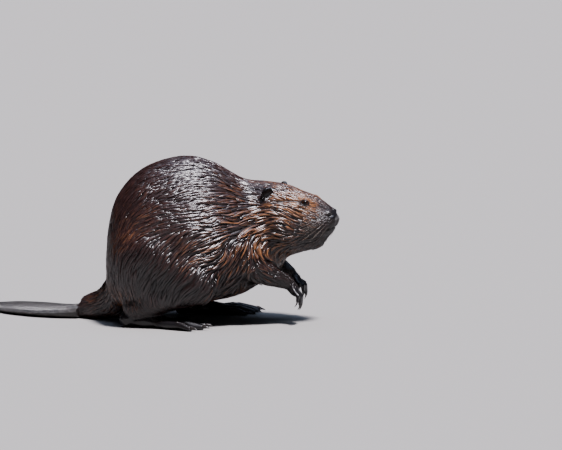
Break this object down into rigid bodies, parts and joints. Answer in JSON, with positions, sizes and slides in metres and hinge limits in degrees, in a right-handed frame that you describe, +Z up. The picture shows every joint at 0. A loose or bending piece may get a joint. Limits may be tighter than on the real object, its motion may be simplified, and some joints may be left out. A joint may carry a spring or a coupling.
{
  "type": "beaver",
  "caption": "Life-size wet North American beaver, crouched on its webbed hind feet with an arched back, forepaws held out in front and its flat scaly tail laid on the floor.",
  "frame": {"origin": "on the floor, under the middle of the model's bounding box", "axes": "+X the way the beaver faces, +Y to its left side, +Z up"},
  "size_m": [0.6302, 0.3468, 0.2908],
  "materials": {
    "coat": "wet dark brown fur in pointed locks, chestnut where it is lit, glossy",
    "skin": "bare blue-black skin of nose, ears, hands and webbed feet, damp and pebbled",
    "tail": "dark grey leathery paddle covered in small flat scales, damp",
    "claw": "dark horn, polished by wear",
    "eye": "wet, almost black"
  },
  "bodies": {
    "root": {"trunk": "coat", "neck": "coat", "head": "coat", "lower_jaw": "coat", "tail_root": "coat", "foreleg_right": "coat", "foreleg_left": "coat", "hindleg_right": "coat", "hindleg_left": "coat", "nose": "skin", "ear_right": "skin", "ear_left": "skin", "hand_right": "skin", "hand_left": "skin", "foot_right": "skin", "foot_left": "skin", "tail": "tail", "claw_hand_right_1": "claw", "claw_hand_right_2": "claw", "claw_hand_right_3": "claw", "claw_hand_right_4": "claw", "claw_hand_right_5": "claw", "claw_hand_left_1": "claw", "claw_hand_left_2": "claw", "claw_hand_left_3": "claw", "claw_hand_left_4": "claw", "claw_hand_left_5": "claw", "claw_foot_right_1": "claw", "claw_foot_right_2": "claw", "claw_foot_right_3": "claw", "claw_foot_right_4": "claw", "claw_foot_right_5": "claw", "claw_foot_left_1": "claw", "claw_foot_left_2": "claw", "claw_foot_left_3": "claw", "claw_foot_left_4": "claw", "claw_foot_left_5": "claw", "eye_right": "eye", "eye_left": "eye"}
  },
  "joints": []
}
